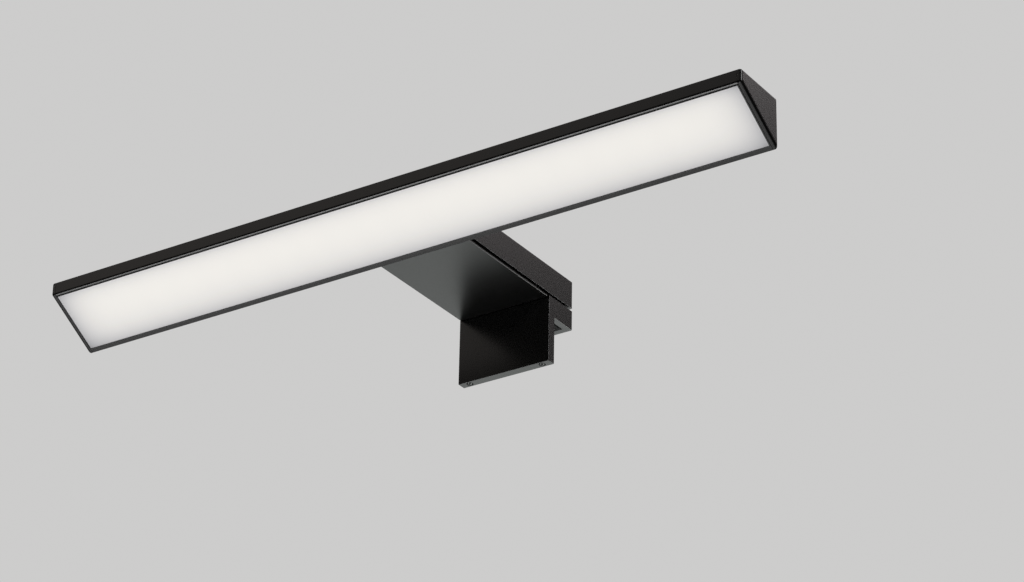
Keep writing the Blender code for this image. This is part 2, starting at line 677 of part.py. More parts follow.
def make_driver():
    half = DRIVER_HALF_WIDTH
    tray_low = (-half, DRIVER_FRONT_Y, TRAY_FLOOR_Z)
    tray_high = (half, DRIVER_REAR_Y, TRAY_FLOOR_Z + TRAY_HEIGHT)
    tray = box("driver_tray", tray_low, tray_high, black_plastic())
    over = 2.0 * MM
    inner_low = (-half + TRAY_WALL, DRIVER_FRONT_Y - over, TRAY_FLOOR_Z + TRAY_WALL)
    inner_high = (half - TRAY_WALL, DRIVER_REAR_Y + over, TRAY_FLOOR_Z + TRAY_HEIGHT + over)
    cut(tray, box("cut_tray", inner_low, inner_high, black_plastic()))
    board_half = half - TRAY_WALL - GAP
    board_low_z = TRAY_FLOOR_Z + TRAY_WALL + GAP
    board_top_z = board_low_z + 0.8 * MM
    board_front, board_rear = DRIVER_FRONT_Y + 1.0 * MM, DRIVER_REAR_Y - 1.0 * MM
    low = (-board_half, board_front, board_low_z)
    box("driver_board", low, (board_half, board_rear, board_top_z), green_board())
    base = board_top_z + GAP
    ceiling = ARM_TOP_Z - ARM_WALL - 2 * GAP
    middle = (board_front + board_rear) / 2
    make_transformer((-4.5 * MM, middle, base), ceiling)
    radius = (ceiling - base) / 2 - 0.1 * MM
    capacitor_start = (10.5 * MM, middle - 5.0 * MM, base + radius)
    rod("driver_capacitor", capacitor_start, (0, 1, 0), 10.0 * MM, radius, black_plastic())
    spool = [(0, 0), (0, 2.6), (0.6, 2.6), (0.6, 1.7), (3.0, 1.7), (3.0, 2.6), (3.6, 2.6), (3.6, 0)]
    spool = [(along * MM, radius_mm * MM) for along, radius_mm in spool]
    turned("driver_choke", spool, (0, board_rear - 5.5 * MM, base), (0, 0, 1), black_plastic())
    low = (-12.5 * MM, board_rear - 8.0 * MM, base)
    high = (-7.5 * MM, board_rear - 3.5 * MM, base + 2.0 * MM)
    box("driver_rectifier", low, high, black_plastic())


def make_transformer(centre, ceiling):
    """Low transformer: a core with a wider winding through it."""
    x, y, z = centre
    core_low = (x - 4.5 * MM, y - 6.0 * MM, z)
    core_high = (x + 4.5 * MM, y + 6.0 * MM, ceiling)
    transformer = box("driver_transformer", core_low, core_high, black_plastic())
    step = 0.4 * MM
    low = (x - 6.5 * MM, y - 3.8 * MM, z + step)
    high = (x + 6.5 * MM, y + 3.8 * MM, ceiling - step)
    cut(transformer, box("add_winding", low, high, black_plastic()), keep=True)


def make_terminals():
    half = 6.0 * MM
    low_z = TONGUE_TOP_Z + GAP
    high_z = ARM_TOP_Z - ARM_WALL - 0.7 * MM
    front_y, rear_y = -7.5 * MM, 1.5 * MM
    block = box("terminal_block", (-half, front_y, low_z), (half, rear_y, high_z), white_board())
    middle = (front_y + rear_y) / 2
    screw_depth = 3.6 * MM
    screw_z = high_z - screw_depth + GAP
    for side, name in ((-1, "left"), (1, "right")):
        x = side * half / 2
        well = (x, middle, high_z - screw_depth)
        drill(block, f"cut_terminal_screw_{name}", well, (0, 0, 1), 6 * MM, 1.7 * MM, 16)
        entry = (x, middle, low_z + 1.7 * MM)
        drill(block, f"cut_terminal_wire_{name}", entry, (0, 1, 0), 8 * MM, 1.2 * MM, 12)
        foot = (x, middle, screw_z)
        screw = rod(f"terminal_screw_{name}", foot, (0, 0, 1), 2.9 * MM, 1.35 * MM, steel(), 16)
        slot_low = (x - 2.0 * MM, middle - 0.2 * MM, screw_z + 2.3 * MM)
        slot_high = (x + 2.0 * MM, middle + 0.2 * MM, screw_z + 4.0 * MM)
        cut(screw, box(f"cut_terminal_slot_{name}", slot_low, slot_high, steel()))


def make_cable_grommet():
    outer = GROMMET_HOLE_R - GAP
    inner_face = -ARM_WALL - GAP
    inner_lip = inner_face - 0.8 * MM
    rear_lip = GAP + 0.8 * MM
    profile = [
        (inner_lip, GROMMET_BORE_R),
        (inner_lip, GROMMET_LIP_R - 0.4 * MM),
        (inner_face, GROMMET_LIP_R),
        (inner_face, outer),
        (GAP, outer),
        (GAP, GROMMET_LIP_R),
        (rear_lip, GROMMET_LIP_R - 0.5 * MM),
        (rear_lip, GROMMET_BORE_R),
        (inner_lip, GROMMET_BORE_R),
    ]
    turned("cable_grommet", profile, (0, ARM_REAR_Y, INLET_Z), (0, 1, 0), rubber())


def smooth_route(points, spacing):
    """Points at an even spacing along a smooth curve through the given points."""
    route = [Vector(p) for p in points]
    ends = [2 * route[0] - route[1], *route, 2 * route[-1] - route[-2]]
    dense = []
    for a, b, c, d in zip(ends, ends[1:], ends[2:], ends[3:]):
        for i in range(40):
            t = i / 40
            first = 2 * b + (c - a) * t
            second = (2 * a - 5 * b + 4 * c - d) * t * t
            third = (3 * b - a - 3 * c + d) * t * t * t
            dense.append((first + second + third) / 2)
    dense.append(route[-1])
    kept = [dense[0]]
    for point in dense:
        if (point - kept[-1]).length >= spacing:
            kept.append(point)
    if (kept[-1] - route[-1]).length < spacing / 2:
        kept.pop()
    return kept + [route[-1]]


def make_wires(connector_z, joint_rear_y):
    """Two insulated leads, from the connector on the LED board to the driver's front edge."""
    for side, name, colour in ((-1, "black", (0.02, 0.02, 0.02)), (1, "red", (0.55, 0.03, 0.02))):
        outer, inner = side * 1.3 * MM, side * 0.85 * MM
        route = [
            (outer, CONNECTOR_REAR_Y - 1.7 * MM, connector_z),
            (outer, CONNECTOR_REAR_Y + 0.6 * MM, connector_z),
            (inner, (CONNECTOR_REAR_Y + INNER_REAR_Y) / 2, (connector_z + WIRE_Z) / 2),
            (inner, INNER_REAR_Y - 0.4 * MM, WIRE_Z + 0.1 * MM),
            (inner, INNER_REAR_Y + 2.4 * MM, WIRE_Z),
            (inner, joint_rear_y - 3.0 * MM, WIRE_Z),
            (inner, joint_rear_y + 0.4 * MM, WIRE_Z),
        ]
        curve = bpy.data.curves.new(f"led_wire_{name}", "CURVE")
        curve.dimensions = "3D"
        curve.bevel_depth = 0.55 * MM
        curve.bevel_resolution = 2
        curve.use_fill_caps = True
        points = smooth_route(route, 1.6 * MM)
        spline = curve.splines.new("POLY")
        spline.points.add(len(points) - 1)
        for target, point in zip(spline.points, points):
            target.co = (*point, 1.0)
        curve.materials.append(material(f"wire_{name}", colour, 0.5))
        wire = bpy.data.objects.new(f"led_wire_{name}", curve)
        bpy.context.scene.collection.objects.link(wire)


def main():
    remove_everything()
    make_housing()
    make_end_caps()
    make_diffuser()
    connector_z = make_light_source()
    joint_rear_y = make_arm_joint()
    make_arm_screws()
    make_wire_bush()
    make_arm_body()
    make_arm_base_plate()
    make_clamp_bracket()
    make_bracket_screws()
    make_edge_screws()
    make_pads()
    make_rear_jaw()
    make_clamp_screws()
    make_driver()
    make_terminals()
    make_cable_grommet()
    make_wires(connector_z, joint_rear_y)


main()
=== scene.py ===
"""Looks of the clip-on mirror light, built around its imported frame. Metres, with +Z up."""

import json
import math

import bmesh
import bpy
from mathutils import Matrix, Vector


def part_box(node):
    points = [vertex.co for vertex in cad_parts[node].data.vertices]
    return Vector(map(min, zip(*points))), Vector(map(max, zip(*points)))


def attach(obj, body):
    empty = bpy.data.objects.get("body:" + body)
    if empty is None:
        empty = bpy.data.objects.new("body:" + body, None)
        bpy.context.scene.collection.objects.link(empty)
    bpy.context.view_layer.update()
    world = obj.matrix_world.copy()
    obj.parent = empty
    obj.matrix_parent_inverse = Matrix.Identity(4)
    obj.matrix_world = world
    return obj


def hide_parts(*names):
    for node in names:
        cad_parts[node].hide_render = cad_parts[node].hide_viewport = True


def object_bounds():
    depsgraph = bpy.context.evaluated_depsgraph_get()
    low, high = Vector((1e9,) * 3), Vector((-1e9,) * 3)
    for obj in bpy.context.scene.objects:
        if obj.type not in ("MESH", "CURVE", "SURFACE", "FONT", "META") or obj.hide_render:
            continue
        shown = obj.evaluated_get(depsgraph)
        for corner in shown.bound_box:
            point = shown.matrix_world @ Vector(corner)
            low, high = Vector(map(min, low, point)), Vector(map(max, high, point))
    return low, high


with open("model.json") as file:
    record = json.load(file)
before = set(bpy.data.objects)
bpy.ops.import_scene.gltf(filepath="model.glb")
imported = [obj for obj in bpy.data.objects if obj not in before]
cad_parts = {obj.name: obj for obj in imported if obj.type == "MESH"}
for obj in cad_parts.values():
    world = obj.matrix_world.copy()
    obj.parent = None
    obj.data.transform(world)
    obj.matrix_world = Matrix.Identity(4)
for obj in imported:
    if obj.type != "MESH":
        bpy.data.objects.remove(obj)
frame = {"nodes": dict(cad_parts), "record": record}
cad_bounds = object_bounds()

MM = 0.001

# Camera: where it stands, which way it looks in degrees, and its lens in mm on a 36 mm sensor.
CAMERA_PLACE = Vector((620.72, -921.07, -551.62)) * MM
CAMERA_YAW = 34.009
CAMERA_PITCH = 27.144
CAMERA_ROLL = -1.125
CAMERA_LENS = 116.958

# Backdrop, and a floor of the same brightness far below the lamp.
BACKGROUND = (0.610, 0.607, 0.603)
FLOOR_DROP = 1.45
FLOOR_HALF = 60.0
FLOOR_GLOW = 0.45

# What the satin black paint reflects: a dim room, and soft patches. Each has a direction, the
# degrees from it where the patch starts to fade and where it ends, a brightness, and a colour.
# A patch with a negative brightness takes light away from a brighter one.
AMBIENT = 0.035
NEUTRAL = (1.0, 1.0, 1.0)
WARM = (1.06, 0.98, 0.92)
ROSY = (1.05, 0.98, 0.985)
COOL = (0.965, 1.01, 0.985)
PATCHES = (
    ((0.25, 0.85, 0.45), 38, 62, 0.48, ROSY),
    ((-0.10, 0.80, -0.55), 32, 50, 1.18, COOL),
    ((-0.60, -0.60, 0.40), 6, 22, 0.46, WARM),
    ((-0.45, -0.10, -0.88), 16, 34, 0.80, NEUTRAL),
    ((-0.48, -0.42, -0.77), 7, 15, 7.50, NEUTRAL),
    ((0.74, -0.49, 0.46), 5, 11, 12.00, NEUTRAL),
    ((0.45, 0.74, -0.49), 6, 13, 10.00, NEUTRAL),
    ((0.48, 0.75, 0.46), 9, 16, -0.46, ROSY),
    ((0.481, 0.587, 0.651), 11.0, 12.0, 2.35, ROSY),
)

# The bar's sloping side: where it starts, in the part's frame, its direction and its length.
SLOPE_START_Y = -89.5 * MM
SLOPE_START_Z = 17.2 * MM
SLOPE_COS, SLOPE_SIN = 0.8543, 0.5197
SLOPE_LENGTH = 28.09 * MM

# Diffuser: its half-length, its face's edges along the slope, its lit part with painted shade at
# its right end, and its light.
DIFFUSER_HALF = 148.2 * MM
FACE_START = 1.32 * MM
FACE_END = SLOPE_LENGTH - 1.95 * MM
LIT_START = 1.50 * MM
LIT_WIDTH = 24.65 * MM
PAINTED_SHADE_END = 0.55 * MM
DIFFUSER_GLOW = 0.823
DIFFUSER_AMBIENT = 0.10
LED_PITCH = 14.0 * MM
LED_RIPPLE = 0.003

# How far pieces that meet are drawn together, and how rounded and proud the end caps' faces are.
SEAM_CLOSING = 0.2 * MM
CAP_RIM = 1.0 * MM
CAP_BULGE = 0.30 * MM

# Rounding of edges: ones that hardly show, the bar's inner edges, its top edges and its lower
# front edge. SHARP_ANGLE is how far two faces turn from each other for their edge to be rounded.
FINE_EDGE = 0.06 * MM
LIP_EDGE = 0.12 * MM
TOP_EDGE = 0.15 * MM
FRONT_LOW_EDGE = 0.55 * MM
SHARP_ANGLE = math.radians(31)

# Corners closer than SAME_POINT are merged. A point within NEAR of a face of a node's box is on it.
SAME_POINT = 0.002 * MM
NEAR = 0.05 * MM

SIDES = ("left", "right")


# ---------------------------------------------------------------- camera, floor and light


def make_camera():
    yaw, pitch, roll = (math.radians(a) for a in (CAMERA_YAW, CAMERA_PITCH, CAMERA_ROLL))
    level = Vector((math.cos(yaw), math.sin(yaw), 0))
    ahead = Vector((-math.sin(yaw), math.cos(yaw), 0))
    look = math.cos(pitch) * ahead + math.sin(pitch) * Vector((0, 0, 1))
    down = look.cross(level)
    right = math.cos(roll) * level + math.sin(roll) * down
    camera = bpy.data.objects.new("camera", bpy.data.cameras.new("camera"))
    camera.data.lens = CAMERA_LENS
    camera.data.clip_start = 0.05
    turn = Matrix((right, look.cross(right) * -1, -look)).transposed()
    camera.matrix_world = Matrix.Translation(CAMERA_PLACE) @ turn.to_4x4()
    bpy.context.scene.collection.objects.link(camera)
    bpy.context.scene.camera = camera


def graph_maths(nodes, links):
    """A function that adds a Math node; each argument is a number or another node's output."""

    def maths(operation, *values):
        node = nodes.new("ShaderNodeMath")
        node.operation = operation
        for socket, value in zip(node.inputs, values):
            if isinstance(value, (int, float)):
                socket.default_value = value
            else:
                links.new(value, socket)
        return node.outputs[0]

    return maths


def make_world():
    """Plain pale backdrop for the camera; for light and gloss, a dim room with soft patches."""
    world = bpy.data.worlds.new("studio")
    bpy.context.scene.world = world
    world.use_nodes = True
    nodes, links = world.node_tree.nodes, world.node_tree.links
    nodes.clear()
    where = nodes.new("ShaderNodeTexCoord").outputs["Generated"]
    light = (AMBIENT, AMBIENT, AMBIENT)
    for axis, inner, outer, brightness, colour in PATCHES:
        facing = nodes.new("ShaderNodeVectorMath")
        facing.operation = "DOT_PRODUCT"
        links.new(where, facing.inputs[0])
        facing.inputs[1].default_value = Vector(axis).normalized()
        edge = nodes.new("ShaderNodeMapRange")
        edge.interpolation_type = "SMOOTHSTEP"
        edge.inputs["From Min"].default_value = math.cos(math.radians(outer))
        edge.inputs["From Max"].default_value = math.cos(math.radians(inner))
        edge.inputs["To Max"].default_value = brightness
        links.new(facing.outputs["Value"], edge.inputs["Value"])
        patch = nodes.new("ShaderNodeVectorMath")
        patch.operation = "MULTIPLY_ADD"
        patch.inputs[0].default_value = colour
        links.new(edge.outputs[0], patch.inputs[1])
        if isinstance(light, tuple):
            patch.inputs[2].default_value = light
        else:
            links.new(light, patch.inputs[2])
        light = patch.outputs[0]
    lit = nodes.new("ShaderNodeBackground")
    links.new(light, lit.inputs["Color"])
    seen = nodes.new("ShaderNodeBackground")
    seen.inputs["Color"].default_value = (*BACKGROUND, 1)
    ray = nodes.new("ShaderNodeLightPath")
    mix = nodes.new("ShaderNodeMixShader")
    links.new(ray.outputs["Is Camera Ray"], mix.inputs[0])
    links.new(lit.outputs[0], mix.inputs[1])
    links.new(seen.outputs[0], mix.inputs[2])
    out = nodes.new("ShaderNodeOutputWorld")
    links.new(mix.outputs[0], out.inputs["Surface"])


def softbox(name, place, target, size, power):
    data = bpy.data.lights.new(name, "AREA")
    data.shape = "RECTANGLE"
    data.size, data.size_y = size
    data.energy = power
    lamp = bpy.data.objects.new(name, data)
    lamp.location = place
    lamp.rotation_euler = (Vector(target) - Vector(place)).to_track_quat("-Z", "Y").to_euler()
    lamp.visible_camera = False
    bpy.context.scene.collection.objects.link(lamp)


def make_studio():
    scene = bpy.context.scene
    scene.view_settings.view_transform = "Standard"
    make_world()
    softbox("overhead", place=(-0.6, -0.4, 2.2), target=(0, -0.03, 0), size=(2.4, 1.8), power=30)
    floor = bpy.data.meshes.new("floor")
    half = FLOOR_HALF
    low = cad_bounds[0][2] - FLOOR_DROP
    corners = [(-half, -half, low), (half, -half, low), (half, half, low), (-half, half, low)]
    floor.from_pydata(corners, [], [(0, 1, 2, 3)])
    obj = bpy.data.objects.new("floor", floor)
    scene.collection.objects.link(obj)
    finish = Finish("floor_paint", (0.80, 0.80, 0.79), 0.85)
    finish.tint(((0.79, 0.79, 0.78), (0.81, 0.81, 0.80)), scale=3.0)
    finish.shader.inputs["Emission Color"].default_value = (*BACKGROUND, 1)
    finish.shader.inputs["Emission Strength"].default_value = FLOOR_GLOW
    floor.materials.append(finish.material)
    obj.visible_glossy = False
    obj.visible_diffuse = False


# ---------------------------------------------------------------- materials


class Finish:
    """A Principled material and the few node patterns that the pieces' finishes share."""

    def __init__(self, name, colour, roughness, metallic=0.0):
        self.material = bpy.data.materials.new(name)
        self.material.use_nodes = True
        self.nodes = self.material.node_tree.nodes
        self.links = self.material.node_tree.links
        self.shader = self.nodes["Principled BSDF"]
        self.shader.inputs["Base Color"].default_value = (*colour, 1)
        self.shader.inputs["Roughness"].default_value = roughness
        self.shader.inputs["Metallic"].default_value = metallic
        self.where = self.nodes.new("ShaderNodeTexCoord").outputs["Object"]
        self.normal = None

    def noise(self, scale, detail=3.0, stretch=(1, 1, 1)):
        place = self.nodes.new("ShaderNodeMapping")
        place.inputs["Scale"].default_value = stretch
        self.links.new(self.where, place.inputs["Vector"])
        noise = self.nodes.new("ShaderNodeTexNoise")
        noise.inputs["Scale"].default_value = scale
        noise.inputs["Detail"].default_value = detail
        noise.inputs["Roughness"].default_value = 0.55
        self.links.new(place.outputs[0], noise.inputs["Vector"])
        return noise.outputs["Fac"]

    def bands(self, axis, spacing):
        """Even waves across one axis."""
        waves = self.nodes.new("ShaderNodeTexWave")
        waves.bands_direction = axis
        waves.inputs["Scale"].default_value = math.pi / (10 * spacing)
        waves.inputs["Distortion"].default_value = 0.0
        self.links.new(self.where, waves.inputs["Vector"])
        return waves.outputs["Fac"]

    def tint(self, colours, scale):
        """Base colour that drifts between two colours; returns the node output that gives it."""
        ramp = self.nodes.new("ShaderNodeValToRGB")
        ramp.color_ramp.elements[0].position = 0.3
        ramp.color_ramp.elements[1].position = 0.7
        for element, colour in zip(ramp.color_ramp.elements, colours):
            element.color = (*colour, 1)
        self.links.new(self.noise(scale), ramp.inputs[0])
        self.links.new(ramp.outputs[0], self.shader.inputs["Base Color"])
        return ramp.outputs[0]

    def gloss(self, low, high, scale):
        """Roughness that drifts between two values."""
        spread = self.nodes.new("ShaderNodeMapRange")
        spread.inputs["From Min"].default_value = 0.3
        spread.inputs["From Max"].default_value = 0.7
        spread.inputs["To Min"].default_value = low
        spread.inputs["To Max"].default_value = high
        self.links.new(self.noise(scale), spread.inputs["Value"])
        self.links.new(spread.outputs[0], self.shader.inputs["Roughness"])

    def bump(self, height, distance):
        """Relief from a height in 0 to 1; several calls add up."""
        node = self.nodes.new("ShaderNodeBump")
        node.inputs["Strength"].default_value = 1.0
        node.inputs["Distance"].default_value = distance
        self.links.new(height, node.inputs["Height"])
        if self.normal is not None:
            self.links.new(self.normal, node.inputs["Normal"])
        self.normal = node.outputs[0]
        self.links.new(self.normal, self.shader.inputs["Normal"])


def satin_black(name, along, low=0.25, high=0.29):
    """Satin black coat over extruded metal: fine grain, and faint drawing lines along one axis."""
    finish = Finish(name, (0.0045, 0.0042, 0.0038), 0.26)
    finish.tint(((0.0038, 0.0035, 0.0031), (0.0052, 0.0048, 0.0044)), scale=55)
    finish.gloss(low, high, scale=1400)
    lines = [1.0, 1.0, 1.0]
    lines["XYZ".index(along)] = 0.012
    finish.bump(finish.noise(2600, 2.0, lines), 0.0015 * MM)
    finish.bump(finish.noise(4200), 0.002 * MM)
    return finish.material


def opal_acrylic():
    """Opal sheet lit from behind: brightest along the middle, cooler and dimmer towards its edges.

    A thin rim along the front lip and at the right end, where its edge lies in shade, is dark.
    """
    finish = Finish("opal_acrylic", (0.36, 0.36, 0.36), 0.40)
    nodes, links = finish.nodes, finish.links
    maths = graph_maths(nodes, links)
    axes = nodes.new("ShaderNodeSeparateXYZ")
    links.new(finish.where, axes.inputs[0])

    def fade(distance, share, reach):
        """1 far from an edge, and less by that share right at it."""
        nearness = maths("EXPONENT", maths("DIVIDE", distance, -reach))
        return maths("SUBTRACT", 1.0, maths("MULTIPLY", share, nearness))

    from_front = maths(
        "ADD",
        maths("MULTIPLY", maths("SUBTRACT", axes.outputs["Y"], SLOPE_START_Y), SLOPE_COS),
        maths("MULTIPLY", maths("SUBTRACT", SLOPE_START_Z, axes.outputs["Z"]), SLOPE_SIN),
    )
    from_front = maths("SUBTRACT", from_front, LIT_START)
    from_rear = maths("SUBTRACT", LIT_WIDTH, from_front)
    from_end = maths("SUBTRACT", DIFFUSER_HALF, maths("ABSOLUTE", axes.outputs["X"]))
    near_front = fade(from_front, share=0.31, reach=2.4 * MM)
    near_rear = fade(from_rear, share=0.43, reach=5.0 * MM)
    across = maths("MULTIPLY", near_front, near_rear)
    level = maths("MULTIPLY", across, fade(from_end, share=0.46, reach=5.5 * MM))
    wave = maths("COSINE", maths("MULTIPLY", axes.outputs["X"], 2 * math.pi / LED_PITCH))
    level = maths("MULTIPLY", level, maths("MULTIPLY_ADD", wave, -LED_RIPPLE, 1 - LED_RIPPLE))
    hue = nodes.new("ShaderNodeMapRange")
    hue.inputs["From Min"].default_value = 0.45
    hue.inputs["From Max"].default_value = 1.0
    links.new(level, hue.inputs["Value"])
    tone = nodes.new("ShaderNodeMix")
    tone.data_type = "RGBA"
    links.new(hue.outputs[0], tone.inputs["Factor"])
    tone.inputs["A"].default_value = (0.99, 0.98, 1.02, 1)
    tone.inputs["B"].default_value = (1.032, 1.0, 0.94, 1)
    links.new(tone.outputs["Result"], finish.shader.inputs["Emission Color"])
    glow = maths("SUBTRACT", maths("MULTIPLY", level, DIFFUSER_GLOW), DIFFUSER_AMBIENT)
    from_right = maths("SUBTRACT", DIFFUSER_HALF, axes.outputs["X"])
    behind_lip = maths("GREATER_THAN", from_front, 0.0)
    lit = maths("MULTIPLY", behind_lip, maths("GREATER_THAN", from_right, PAINTED_SHADE_END))
    glow = maths("MULTIPLY", glow, lit)
    links.new(glow, finish.shader.inputs["Emission Strength"])
    sheet = finish.tint(((0.35, 0.35, 0.35), (0.37, 0.37, 0.37)), scale=90)
    # Painted shade: on the strip along the front lip and at the right end, where the sheet's edge
    # lies in shade, the base colour is near black.
    colour = nodes.new("ShaderNodeMix")
    colour.data_type = "RGBA"
    links.new(lit, colour.inputs["Factor"])
    colour.inputs["A"].default_value = (0.02, 0.02, 0.02, 1)
    links.new(sheet, colour.inputs["B"])
    links.new(colour.outputs["Result"], finish.shader.inputs["Base Color"])
    finish.bump(finish.noise(1800, 2.0), 0.003 * MM)
    return finish.material


def soft_rubber(name, rib=None):
    """Matt moulded rubber, with ribs across X if rib gives their spacing."""
    finish = Finish(name, (0.030, 0.030, 0.030), 0.78)
    finish.tint(((0.026, 0.026, 0.026), (0.036, 0.035, 0.034)), scale=180)
    finish.gloss(0.70, 0.88, scale=900)
    if rib:
        finish.bump(finish.bands("X", rib), 0.15 * MM)
    finish.bump(finish.noise(3000, 4.0), 0.03 * MM)
    return finish.material


def wound_copper():
    """Enamelled copper wire in close turns."""
    finish = Finish("wound_copper", (0.70, 0.30, 0.12), 0.30, 1.0)
    finish.tint(((0.58, 0.23, 0.08), (0.76, 0.34, 0.14)), scale=500)
    finish.gloss(0.24, 0.38, scale=900)
    finish.bump(finish.bands("Z", 0.3 * MM), 0.10 * MM)
    return finish.material


def circuit_board(name, mask, track):
    """Board under solder mask, through which its tracks show faintly."""
    finish = Finish(name, mask, 0.38)
    tracks = finish.nodes.new("ShaderNodeTexBrick")
    tracks.inputs["Color1"].default_value = (*mask, 1)
    tracks.inputs["Color2"].default_value = (*(0.94 * c for c in mask), 1)
    tracks.inputs["Mortar"].default_value = (*track, 1)
    tracks.inputs["Scale"].default_value = 120
    tracks.inputs["Mortar Size"].default_value = 0.035
    tracks.inputs["Brick Width"].default_value = 0.9
    finish.links.new(finish.where, tracks.inputs["Vector"])
    finish.links.new(tracks.outputs["Color"], finish.shader.inputs["Base Color"])
    finish.gloss(0.32, 0.46, scale=700)
    finish.bump(tracks.outputs["Fac"], 0.02 * MM)
    finish.bump(finish.noise(2600, 2.0), 0.006 * MM)
    return finish.material


def plated_steel(name, colour, low, high):
    finish = Finish(name, colour, low, 1.0)
    dark = tuple(0.88 * c for c in colour)
    finish.tint((dark, colour), scale=700)
    finish.gloss(low, high, scale=1600)
    finish.bump(finish.noise(3500), 0.006 * MM)
    return finish.material


def moulded(name, colour, roughness=0.5):
    finish = Finish(name, colour, roughness)
    dark = tuple(0.90 * c for c in colour)
    finish.tint((dark, colour), scale=240)
    finish.gloss(roughness - 0.08, roughness + 0.08, scale=1200)
    finish.bump(finish.noise(4000, 2.0), 0.010 * MM)
    return finish.material


# ---------------------------------------------------------------- meshes


def link(name, mesh, mats):
    if not mesh.materials:
        for mat in mats if isinstance(mats, tuple) else (mats,):
            mesh.materials.append(mat)
    obj = bpy.data.objects.new(name, mesh)
    bpy.context.scene.collection.objects.link(obj)
    return obj


def body_of(node):
    bodies = frame["record"]["behaviour"]["bodies"]
    return next(body for body, members in bodies.items() if node in members)


def stand_for(obj, node):
    """obj replaces a CAD node and moves with its body."""
    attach(obj, body_of(node))
    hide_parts(node)


def softened(node, width, mats, segments=3, nudge=None, paint=None):
    """The CAD node's solid with its sharp edges rounded by a width, or by what width(edge) says.

    nudge may move a vertex a little, where two pieces meet more closely than their solids can, and
    paint gives the number of a face's material.
    """
    mesh = bpy.data.meshes.new(f"{node}_soft")
    bm = bmesh.new()
    bm.from_mesh(frame["nodes"][node].data)
    bmesh.ops.remove_doubles(bm, verts=bm.verts, dist=SAME_POINT)
    bmesh.ops.dissolve_limit(bm, angle_limit=math.radians(1.0), verts=bm.verts, edges=bm.edges)
    bmesh.ops.recalc_face_normals(bm, faces=bm.faces)
    if nudge:
        for vert in bm.verts:
            nudge(vert.co)
    weights = bm.edges.layers.float.new("bevel_weight_edge")
    sharp = [edge for edge in bm.edges if edge.calc_face_angle() > SHARP_ANGLE]
    widths = [width(edge) if callable(width) else width for edge in sharp]
    widest = max(widths)
    for edge, wanted in zip(sharp, widths):
        edge[weights] = wanted / widest
    for face in bm.faces:
        face.smooth = True
        face.material_index = paint(face) if paint else 0
    bm.to_mesh(mesh)
    bm.free()
    obj = link(f"{node}_shell", mesh, mats)
    obj.matrix_world = frame["nodes"][node].matrix_world
    bevel = obj.modifiers.new("round edges", "BEVEL")
    bevel.limit_method = "WEIGHT"
    bevel.width = widest
    bevel.segments = segments
    bevel.use_clamp_overlap = False
    even = obj.modifiers.new("even normals", "WEIGHTED_NORMAL")
    even.keep_sharp = True
    stand_for(obj, node)


def middle_of(edge):
    return (edge.verts[0].co + edge.verts[1].co) / 2


def runs_along(edge, axis):
    step = edge.verts[1].co - edge.verts[0].co
    return abs(step[axis]) > 0.9 * step.length


def on_slope(point):
    """Place of a point along the bar's sloping side, and its depth below that side."""
    y, z = point.y - SLOPE_START_Y, point.z - SLOPE_START_Z
    return y * SLOPE_COS - z * SLOPE_SIN, y * SLOPE_SIN + z * SLOPE_COS


def shift_along_slope(point, shift):
    point.y += shift * SLOPE_COS
    point.z -= shift * SLOPE_SIN


def bar_edge(edge):
    """Rounding of an edge of the bar or of a cap's side; the acute rear corner stays sharp."""
    if not runs_along(edge, 0):
        return FINE_EDGE
    point = middle_of(edge)
    low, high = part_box("housing_profile")
    at_front = abs(point.y - low.y) < 0.1 * MM
    at_rear = abs(point.y - high.y) < 0.1 * MM
    if point.z > high.z - 1 * MM and (at_front or at_rear):
        return TOP_EDGE
    return FRONT_LOW_EDGE if at_front else LIP_EDGE


def make_bar(black):
    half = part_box("housing_profile")[1].x

    def to_caps(point):
        if abs(point.x) > half - NEAR:
            point.x += math.copysign(SEAM_CLOSING, point.x)

    softened("housing_profile", bar_edge, black, nudge=to_caps)
    for side in SIDES:
        name = f"end_cap_{side}"
        cap_low, cap_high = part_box(name)
        outer_x = max(cap_low.x, cap_high.x, key=abs)

        def cap_edge(edge, outer_x=outer_x):
            """Rounded well round the outer rim, and like the bar along its corners."""
            at_rim = abs(middle_of(edge).x - outer_x) < 0.5 * MM
            return CAP_RIM if at_rim else bar_edge(edge)

        def outward(point, outer_x=outer_x):
            if abs(point.x - outer_x) < NEAR:
                point.x += math.copysign(CAP_BULGE, point.x)

        softened(name, cap_edge, black, segments=5, nudge=outward)


def make_diffuser():
    """The opal sheet, whose face almost meets the lips and the end caps."""
    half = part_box("diffuser")[1].x
    face_depth = 0.5 * MM

    def to_lips(point):
        along, depth = on_slope(point)
        if abs(point.x) > half - NEAR:
            point.x += math.copysign(SEAM_CLOSING, point.x)
        if depth < face_depth:
            shift_along_slope(point, (FACE_START if along < SLOPE_LENGTH / 2 else FACE_END) - along)

    softened("diffuser", 0.08 * MM, opal_acrylic(), segments=2, nudge=to_lips)


def make_arm(black_x, black_y):
    outer_edge, groove_edge, plate_edge = 0.35 * MM, 0.09 * MM, 0.32 * MM
    softened("arm_joint", 0.12 * MM, black_x)
    low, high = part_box("arm_body")

    def arm_edge(edge):
        """Wider on the channel's outer edges, apart from the ones that its cheeks end in."""
        point = middle_of(edge)
        outside = abs(abs(point.x) - high.x) < NEAR or abs(point.z - high.z) < NEAR
        outside = outside or abs(point.y - high.y) < NEAR
        return outer_edge if outside and point.z > low.z + 0.1 * MM else groove_edge

    softened("arm_body", arm_edge, black_y)
    plate_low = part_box("arm_base_plate")[0]

    def base_edge(edge):
        """Wider on the lower edges of the plate's two sides."""
        low_side = middle_of(edge).z < plate_low.z + NEAR and runs_along(edge, 1)
        return plate_edge if low_side else FINE_EDGE

    sheet = satin_black("satin_black_sheet", "Y", 0.33, 0.38)
    softened("arm_base_plate", base_edge, sheet)
    softened("clamp_bracket", 0.22 * MM, black_y)


# ---------------------------------------------------------------- screws and other turned pieces


